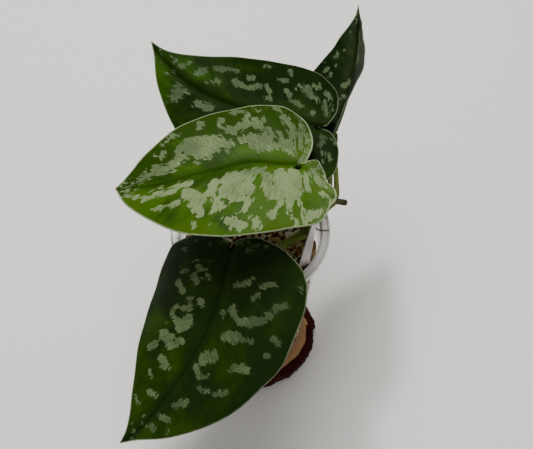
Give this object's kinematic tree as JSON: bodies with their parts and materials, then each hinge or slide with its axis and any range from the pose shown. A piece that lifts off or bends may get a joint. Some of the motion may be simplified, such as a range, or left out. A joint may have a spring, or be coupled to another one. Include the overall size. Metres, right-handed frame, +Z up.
{
  "type": "potted scindapsus",
  "caption": "Trailing house plant with silver-splashed heart-shaped leaves on a creeping stem, in a clear round pot of bark mix on a bark-edged wood slice.",
  "frame": {"origin": "on the pot's axis, at the flat underside of the wood slice", "axes": "+Z up along the pot's axis, -Y towards the front, where the lowest leaf hangs, +X to the side that the stem leans out over"},
  "size_m": [0.1479, 0.2624, 0.2078],
  "materials": {
    "wood_slice": "sawn face with rough dark bark",
    "clear_plastic": "clear, slightly cloudy",
    "bark_mix": "loose chunks of bark and pumice",
    "stem": "smooth living stem, satin",
    "leaf_dark": "thick satin leaf with silver splashes",
    "leaf_bright": "thick satin leaf with silver splashes",
    "label_plastic": "scuffed white plastic"
  },
  "bodies": {
    "root": {"wood_slice": "wood_slice", "pot": "clear_plastic", "potting_mix": "bark_mix", "vine_stem": "stem", "petiole_front": "stem", "petiole_middle": "stem", "petiole_rear": "stem", "petiole_top": "stem", "leaf_front": "leaf_dark", "leaf_middle": "leaf_bright", "leaf_rear": "leaf_dark", "leaf_top": "leaf_dark", "plant_label": "label_plastic"}
  },
  "joints": []
}
